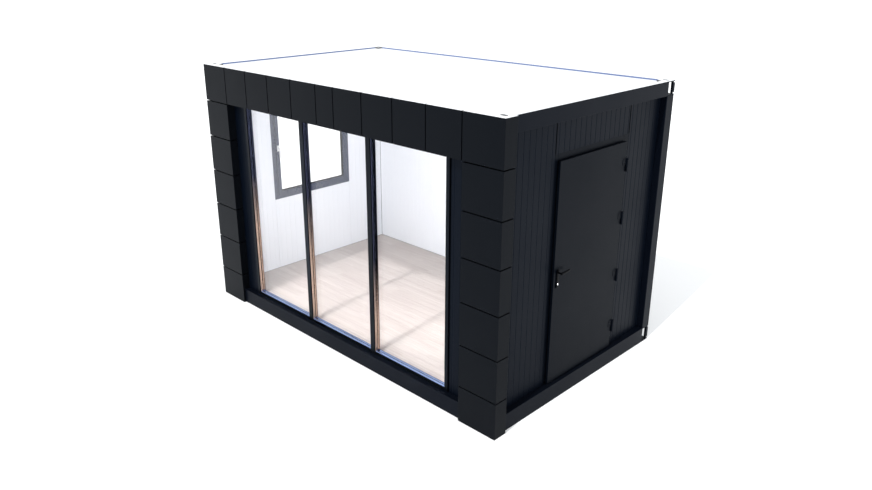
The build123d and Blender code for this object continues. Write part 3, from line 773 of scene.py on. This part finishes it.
class CONTAINER_OT_frame(bpy.types.Operator):
    """Ease the edges of the rails, posts and corner castings and paint them"""

    bl_idname = "container.frame"
    bl_label = "Steel frame"

    def execute(self, context):
        sizes = context.scene.container_sizes
        for side in ("front", "back", "left", "right"):
            for level in ("bottom", "top"):
                eased(f"{side}_{level}_rail", "rail_steel", sizes.edge_radius * 0.7)
        eased("corner_posts", "frame_steel", sizes.edge_radius * 0.5)
        for node in ("bottom_corner_castings", "top_corner_castings"):
            eased(node, "frame_steel", sizes.edge_radius * 0.8)
        return {"FINISHED"}


class CONTAINER_OT_portal(bpy.types.Operator):
    """Ease the folded edges of the portal tiles and paint them"""

    bl_idname = "container.portal"
    bl_label = "Portal tiles"

    def execute(self, context):
        sizes = context.scene.container_sizes
        for node in ("cladding_band", "cladding_band_corners", "cladding_left_column",
                     "cladding_right_column"):
            eased(node, "cladding", sizes.tile_edge)
        return {"FINISHED"}


class CONTAINER_OT_walls(bpy.types.Operator):
    """Finish the wall panels and seal the joints over the door"""

    bl_idname = "container.walls"
    bl_label = "Walls"

    def execute(self, context):
        for node in ("back_wall_panels", "left_wall_panels", "right_wall_front_panel",
                     "right_wall_back_panel", "right_wall_over_door", "front_wall_side_panels",
                     "front_wall_lintel"):
            dress(node, "wall_panel")
        low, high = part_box("right_wall_over_door")
        bm = bmesh.new()
        for y in (low.y, high.y):
            block(bm, (high.x - 0.002, y - 0.0045, low.z + 0.004),
                  (high.x + 0.002, y + 0.0045, high.z - 0.002), 0.0012, 2)
        piece("wall_joint_seals", bm, "rubber", "container")
        return {"FINISHED"}


class CONTAINER_OT_roof_and_floor(bpy.types.Operator):
    """Finish the roof, ceiling and underfloor, and lay the planks"""

    bl_idname = "container.roof_and_floor"
    bl_label = "Roof and floor"

    def execute(self, context):
        dress("roof_sheet", "roof_white")
        dress("ceiling_panel", "ceiling")
        dress("floor_panel", "floor_board")
        for node in ("floor_cross_members", "floor_underside_sheet", "roof_joists"):
            dress(node, "primed_steel")
        lay_planks(context.scene.container_sizes)
        return {"FINISHED"}


def lay_planks(sizes):
    """Rows of planks along the container, each row starting with another cut length."""
    low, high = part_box("floor_covering")
    bm = bmesh.new()
    tone = bm.faces.layers.float.new("plank_tone")
    shift = bm.faces.layers.float.new("plank_shift")
    rows = math.ceil((high.y - low.y) / sizes.plank_width)
    number = 0
    for row in range(rows):
        front = low.y + row * sizes.plank_width
        back = min(front + sizes.plank_width, high.y)
        start = low.x - (row * 0.37 % 1.0) * sizes.plank_length
        while start < high.x - 1e-6:
            near = max(start, low.x)
            far = min(start + sizes.plank_length, high.x)
            start += sizes.plank_length
            if far - near < 0.001:
                continue
            before = set(bm.faces)
            made = block(bm, (near, front, low.z), (far, back, high.z))
            top = [e for e in edges_of(made) if all(v.co.z > high.z - 1e-6 for v in e.verts)]
            rounded(bm, top, sizes.plank_bevel, 1)
            for face in set(bm.faces) - before:
                face[tone] = (number * 0.618) % 1.0
                face[shift] = (number * 3.71) % 17.0
            number += 1
    piece("floor_planks", bm, "floor_finish", "container", ("floor_covering",))


def glass_unit(bm, lie, centre, size, depth, bite):
    """The two sheets of a sealed unit, which reach into the frame by the bite."""
    for near in (0.0, depth - SHEET_OF_GLASS):
        made = block(
            bm, (-size[0] / 2 - bite, -size[1] / 2 - bite, near),
            (size[0] / 2 + bite, size[1] / 2 + bite, near + SHEET_OF_GLASS),
        )
        bmesh.ops.transform(bm, matrix=Matrix.Translation(centre) @ lie, verts=made)


def gasket_pair(bm, lie, outer, inner, size, width):
    """A rubber lip on the glass outside, and one in the room."""
    for place, proud in ((outer, -GASKET_PROUD), (inner, GASKET_PROUD)):
        ring(bm, lie, place, size, (
            (0.0, 0.0), (0.0, proud * 0.9), (-width * 0.45, proud), (-width * 0.9, proud * 0.6),
            (-width, 0.0)))


class CONTAINER_OT_glazing(bpy.types.Operator):
    """Finish the glazed front: bars, sealed panes, gaskets and beads"""

    bl_idname = "container.glazing"
    bl_label = "Glazed front"

    def execute(self, context):
        sizes = context.scene.container_sizes
        eased("glazing_frame", "window_profile", 0.0012)
        eased("glazing_mullions", "window_profile", 0.0012)
        low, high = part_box("glazing_panes")
        opening = high.x - low.x - 2 * PANE_BITE
        width = (opening - 2 * MULLION_WIDTH) / 3
        height = high.z - low.z - 2 * PANE_BITE
        depth = high.y - low.y
        middle_z = (low.z + high.z) / 2
        glass, gaskets, spacers, beads = (bmesh.new() for _ in range(4))
        bulge = sizes.bead_bulge
        for index in (-1, 0, 1):
            centre = Vector((index * (width + MULLION_WIDTH), low.y, middle_z))
            inner = Vector((centre.x, high.y, middle_z))
            size = (width, height)
            glass_unit(glass, FRONT, centre, size, depth, PANE_BITE - 0.0005)
            ring(spacers, FRONT, centre, size, (
                (PANE_BITE - 0.001, SHEET_OF_GLASS), (-0.001, SHEET_OF_GLASS),
                (-0.001, depth - SHEET_OF_GLASS), (PANE_BITE - 0.001, depth - SHEET_OF_GLASS)))
            gasket_pair(gaskets, FRONT, centre, inner, size, sizes.gasket_width)
            # A black rubber strip in the outer corner of the reveal, where the step casts its
            # shadow line; its black is painted shade
            ring(gaskets, FRONT, centre, size, (
                (0.0, -REVEAL_DEPTH + 0.0015), (-0.0015, -REVEAL_DEPTH + 0.002),
                (-0.0015, -REVEAL_DEPTH + 0.0085), (0.0, -REVEAL_DEPTH + 0.009)))
            ring(beads, FRONT, centre, size, (
                (0.0, -REVEAL_DEPTH + 0.009), (-bulge * 0.55, -REVEAL_DEPTH + 0.0100),
                (-bulge * 0.9, -REVEAL_DEPTH + 0.014), (-bulge, -0.016),
                (-bulge * 0.9, -0.009), (-bulge * 0.55, -0.0045), (0.0, -0.0035)))
        for bm in (glass, gaskets, spacers, beads):
            closed(bm)
        piece("glazing_sheets", glass, "glass", "container", ("glazing_panes",))
        piece("glazing_gaskets", gaskets, "rubber", "container")
        piece("glazing_spacers", spacers, "bead", "container")
        piece("glazing_beads", beads, "bead", "container", smooth=50)
        return {"FINISHED"}


class CONTAINER_OT_window(bpy.types.Operator):
    """Finish the window in the left end: frame, sash, sealed pane and handle"""

    bl_idname = "container.window"
    bl_label = "End window"

    def execute(self, context):
        sizes = context.scene.container_sizes
        eased("window_frame", "window", 0.0025, 3)
        eased("window_sash", "window", 0.004, 3)
        low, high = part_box("window_pane")
        centre = Vector((low.x, (low.y + high.y) / 2, (low.z + high.z) / 2))
        inner = Vector((high.x, centre.y, centre.z))
        size = (high.y - low.y, high.z - low.z)
        depth = high.x - low.x
        glass, gaskets = (bmesh.new() for _ in range(2))
        glass_unit(glass, LEFT_END, centre, size, depth, 0.0)
        gasket_pair(gaskets, LEFT_END, centre, inner, size, sizes.gasket_width)
        ring(gaskets, LEFT_END, centre, size, (
            (-0.0005, SHEET_OF_GLASS), (-0.010, SHEET_OF_GLASS),
            (-0.010, depth - SHEET_OF_GLASS), (-0.0005, depth - SHEET_OF_GLASS)))
        closed(glass)
        closed(gaskets)
        piece("window_sheets", glass, "glass", "container", ("window_pane",))
        piece("window_gaskets", gaskets, "rubber", "container")
        window_handle()
        return {"FINISHED"}


def window_handle():
    """A rounded rose, a neck and a grip that hangs down."""
    low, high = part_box("window_handle")
    middle = (low.y + high.y) / 2
    base = low.x
    pivot = high.z - 0.034
    bm = bmesh.new()
    block(bm, (base, middle - 0.014, pivot - 0.034), (base + 0.010, middle + 0.014, pivot + 0.034),
          0.0045, 3)
    disc(bm, (base + 0.010, middle, pivot), (1, 0, 0), 0.009, high.x - base - 0.012, 0.001)
    block(bm, (high.x - 0.014, middle - 0.009, low.z), (high.x, middle + 0.009, pivot + 0.009),
          0.0058, 4)
    piece("window_handle_grip", bm, "white_handle", "container",
          ("window_handle",), smooth=40)


class CONTAINER_OT_door(bpy.types.Operator):
    """Finish the door: frame, seal, leaf, hinges and threshold"""

    bl_idname = "container.door"
    bl_label = "Door"

    def execute(self, context):
        sizes = context.scene.container_sizes
        eased("door_jambs", "door_steel", 0.0018)
        eased("door_head", "door_steel", 0.0018)
        eased("door_leaf", "door_steel", 0.0018, least=0.012)
        eased("door_threshold", "threshold", 0.0012)
        for node in ("door_hinge_pins", "door_hinge_knuckles"):
            eased(node, "door_steel", 0.0008, least=0.0015)
        door_seal()
        bm = bmesh.new()
        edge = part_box("door_leaf")[1].y
        for bottom in hinge_bottoms():
            for dy, dz in FLAP_SCREWS:
                place = (LEAF_FACE + HINGE_PLATE, edge + dy, bottom + dz)
                screw(bm, place, (1, 0, 0), sizes.screw_radius)
        piece("hinge_screws", bm, "black_metal", "door", smooth=35)
        return {"FINISHED"}


def hinge_bottoms():
    """The lower edge of the leaf's half of each hinge, read from the frame."""
    heights = sorted(round(v.co.z, 4) for v in NODES["door_hinge_knuckles"].data.vertices)
    found = []
    for z in heights:
        if not found or z - found[-1][-1] > 0.1:
            found.append([z])
        found[-1].append(z)
    return [group[0] for group in found]


def door_seal():
    """Soft strips on the jambs and head that the lip of the leaf closes on."""
    low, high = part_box("door_leaf")
    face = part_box("door_jambs")[1].x
    proud = face + SEAL_HEIGHT
    reach = SEAL_INSET + SEAL_WIDTH
    top = high.z - SEAL_INSET
    bm = bmesh.new()
    for start in (low.y + SEAL_INSET, high.y - reach):
        block(bm, (face, start, low.z), (proud, start + SEAL_WIDTH, top), 0.002, 3)
    block(bm, (face, low.y + reach + SEAL_GAP, high.z - reach),
          (proud, high.y - reach - SEAL_GAP, top), 0.002, 3)
    piece("door_seal", bm, "rubber", "container", smooth=40)


class CONTAINER_OT_door_furniture(bpy.types.Operator):
    """Make the lever handles, their long plates, the screws and the lock"""

    bl_idname = "container.door_furniture"
    bl_label = "Door handle and lock"

    def execute(self, context):
        sizes = context.scene.container_sizes
        plates, screws, levers, locks, keyways = (bmesh.new() for _ in range(5))
        low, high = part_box("door_handle_plates")
        lever_low, lever_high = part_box("door_handle")
        lock_low, lock_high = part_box("door_lock_cylinder")
        sides = (
            (1, LEAF_FACE, high.x, lever_high.x, lock_high.x),
            (-1, LEAF_INNER, low.x, lever_low.x, lock_low.x),
        )
        for side, wall, plate, lever, lock in sides:
            near, far = sorted((wall, plate))
            made = block(plates, (near, low.y, low.z), (far, high.y, high.z))
            upright = [e for e in edges_of(made)
                       if abs(e.verts[0].co.x - e.verts[1].co.x) > 0.001]
            rounded(plates, upright, PLATE_CORNER, 5)
            for z in (low.z + 0.012, high.z - 0.010):
                screw(screws, (plate, SPINDLE_Y, z), (side, 0, 0), sizes.screw_radius * 0.85)
            disc(levers, (plate - side * 0.001, SPINDLE_Y, SPINDLE_Z), (side, 0, 0),
                 COLLAR_RADIUS, 0.004, 0.001)
            lever_arm(levers, side, plate, lever, lever_high.y)
            disc(locks, (wall, SPINDLE_Y, LOCK_Z), (side, 0, 0), LOCK_RADIUS, abs(lock - wall),
                 0.0012)
            near, far = sorted((lock - side * KEYWAY_SUNK, lock + side * KEYWAY_PROUD))
            block(keyways, (near, SPINDLE_Y - KEYWAY_HALF_WIDTH, LOCK_Z - KEYWAY_HALF_HEIGHT),
                  (far, SPINDLE_Y + KEYWAY_HALF_WIDTH, LOCK_Z + KEYWAY_HALF_HEIGHT))
        top = [f for f in plates.faces if f.calc_area() > 0.004]
        rims = list({e for f in top for e in f.edges
                     if len(e.link_faces) == 2 and e.calc_face_angle(0.0) > 1.0})
        rounded(plates, rims, PLATE_EDGE, 3)
        piece("handle_long_plates", plates, "black_metal", "door",
              ("door_handle_plates",), smooth=40)
        piece("handle_screws", screws, "black_metal", "door", smooth=35)
        piece("handle_levers", levers, "black_metal", "handle",
              ("door_handle",), smooth=40)
        piece("lock_cylinder", locks, "bright_metal", "door",
              ("door_lock_cylinder",), smooth=40)
        piece("lock_keyways", keyways, "rubber", "door")
        return {"FINISHED"}


def lever_arm(bm, side, plate, face, tip):
    """One lever: a neck from the plate, and an arm that thins and bends in towards its tip."""
    disc(bm, (plate - side * 0.004, SPINDLE_Y, SPINDLE_Z), (side, 0, 0), NECK_RADIUS,
         abs(face - plate) - 0.002, 0.001)
    arm = bmesh.new()
    near, far = sorted((face, face - side * LEVER_THICKNESS))
    block(arm, (near, SPINDLE_Y - LEVER_HALF, SPINDLE_Z - LEVER_HALF),
          (far, tip, SPINDLE_Z + LEVER_HALF))
    reach = tip - SPINDLE_Y
    for step in range(1, LEVER_SLICES):
        bmesh.ops.bisect_plane(
            arm, geom=list(arm.verts) + list(arm.edges) + list(arm.faces),
            plane_co=(0.0, SPINDLE_Y + reach * step / LEVER_SLICES, 0.0), plane_no=(0.0, 1.0, 0.0),
        )
    for vert in arm.verts:
        share = max(0.0, (vert.co.y - SPINDLE_Y) / reach)
        vert.co.x -= side * LEVER_BEND * share ** 3
        vert.co.z += (SPINDLE_Z - vert.co.z) * LEVER_TAPER * share
    rounded(arm, sharp_edges(arm), LEVER_EDGE, 4)
    joined(bm, arm)


def joined(bm, part):
    """Adds one bmesh to another and frees it."""
    mesh = bpy.data.meshes.new("part")
    part.to_mesh(mesh)
    part.free()
    bm.from_mesh(mesh)
    bpy.data.meshes.remove(mesh)


class CONTAINER_OT_stage(bpy.types.Operator):
    """Set the pale floor, the soft light and the camera"""

    bl_idname = "container.stage"
    bl_label = "Stage"

    def execute(self, context):
        light = context.scene.container_light
        context.scene.view_settings.view_transform = "Standard"
        context.scene.view_settings.look = "None"
        stage_floor(light.floor_colour)
        surroundings(light.sky_strength)
        key_light(light)
        room_fills(light.room_light)
        context.scene.camera = stage_camera()
        return {"FINISHED"}


def key_light(light):
    """The sun, which falls in through the glazed front."""
    sun = bpy.data.lights.new("key_light", "SUN")
    sun.energy = light.sun_strength
    sun.angle = light.sun_softness
    lamp = placed("key_light", sun)
    lamp.rotation_euler = Vector(SUN_TRAVEL).to_track_quat("-Z", "Y").to_euler()


def room_fills(power):
    """Soft light in the room, which neither the camera nor a reflection sees."""
    for name, share, spot, turn in ROOM_FILLS:
        lit = bpy.data.lights.new(name, "AREA")
        lit.shape = "RECTANGLE"
        lit.size = 3.0
        lit.size_y = 1.5
        lit.energy = power * share
        lamp = placed(name, lit)
        lamp.location = spot
        lamp.rotation_euler = [math.radians(angle) for angle in turn]
        lamp.visible_camera = False
        lamp.visible_glossy = False
        lamp.visible_transmission = False


def stage_camera():
    """The camera, at the photograph's viewing angle."""
    lens = bpy.data.cameras.new("camera")
    lens.sensor_width = SENSOR_WIDTH
    lens.lens = FOCAL_LENGTH / PICTURE_WIDTH * SENSOR_WIDTH
    lens.shift_x = (PICTURE_WIDTH / 2 - OPTICAL_CENTRE[0]) / PICTURE_WIDTH
    lens.shift_y = (OPTICAL_CENTRE[1] - PICTURE_HEIGHT / 2) / PICTURE_WIDTH
    lens.clip_end = 1000.0
    camera = placed("camera", lens)
    camera.location = CAMERA_PLACE
    camera.rotation_euler = [math.radians(angle) for angle in CAMERA_TURN]
    return camera


def stage_floor(tint):
    """A wide pale floor that glows a little, so that shadows on it stay faint."""
    bm = bmesh.new()
    bmesh.ops.create_grid(bm, x_segments=8, y_segments=8, size=250.0)
    mesh = bpy.data.meshes.new("stage_floor")
    bm.to_mesh(mesh)
    bm.free()
    material, tree, shader, place = blank("Stage floor", 0.9, 0.2)
    fill(shader, {"Emission Color": (1.0, 1.0, 1.0), "Emission Strength": 0.15})
    cloud = noise(tree, place, 0.6, 3.0)
    shade = mixed(tree, ranged(tree, cloud, 0.3, 0.7), tint, [c * 0.985 for c in tint])
    tree.links.new(shade, shader.inputs["Base Color"])
    mesh.materials.append(material)
    placed("stage_floor", mesh)


def surroundings(strength):
    """An even pale light all round that cools a little overhead."""
    world = bpy.data.worlds.new("Soft surroundings")
    bpy.context.scene.world = world
    world.use_nodes = True
    tree = world.node_tree
    sky = tree.nodes["Background"]
    up = axes(tree, add(tree, "ShaderNodeTexCoord").outputs["Generated"])["Z"]
    height = ranged(tree, up, 0.05, 0.9)
    tree.links.new(mixed(tree, height, (1.0, 1.0, 1.0), (0.93, 0.965, 1.0)), sky.inputs["Color"])
    fill(sky, {"Strength": strength})


STEPS = (
    CONTAINER_OT_frame, CONTAINER_OT_portal, CONTAINER_OT_walls, CONTAINER_OT_roof_and_floor,
    CONTAINER_OT_glazing, CONTAINER_OT_window, CONTAINER_OT_door, CONTAINER_OT_door_furniture,
    CONTAINER_OT_stage,
)


class CONTAINER_PT_sidebar(bpy.types.Panel):
    """Lists the steps and the settings in the sidebar"""

    bl_idname = "CONTAINER_PT_sidebar"
    bl_label = "Office container"
    bl_space_type = "VIEW_3D"
    bl_region_type = "UI"
    bl_category = "Container"

    def draw(self, context):
        for step in STEPS:
            self.layout.operator(step.bl_idname)
        for settings in (context.scene.container_colours, context.scene.container_sizes,
                         context.scene.container_light):
            column = self.layout.box().column()
            for name in settings.__annotations__:
                column.prop(settings, name)


SETTINGS = (
    ("container_colours", ContainerColours), ("container_sizes", ContainerSizes),
    ("container_light", ContainerLight),
)


def register():
    for name, settings in SETTINGS:
        bpy.utils.register_class(settings)
        setattr(bpy.types.Scene, name, PointerProperty(type=settings))
    for step in STEPS:
        bpy.utils.register_class(step)
    bpy.utils.register_class(CONTAINER_PT_sidebar)


def unregister():
    bpy.utils.unregister_class(CONTAINER_PT_sidebar)
    for step in reversed(STEPS):
        bpy.utils.unregister_class(step)
    for name, settings in reversed(SETTINGS):
        delattr(bpy.types.Scene, name)
        bpy.utils.unregister_class(settings)


def main():
    register()
    bpy.ops.container.frame()
    bpy.ops.container.portal()
    bpy.ops.container.walls()
    bpy.ops.container.roof_and_floor()
    bpy.ops.container.glazing()
    bpy.ops.container.window()
    bpy.ops.container.door()
    bpy.ops.container.door_furniture()
    bpy.ops.container.stage()
    bpy.context.view_layer.update()


if __name__ == "__main__":
    main()
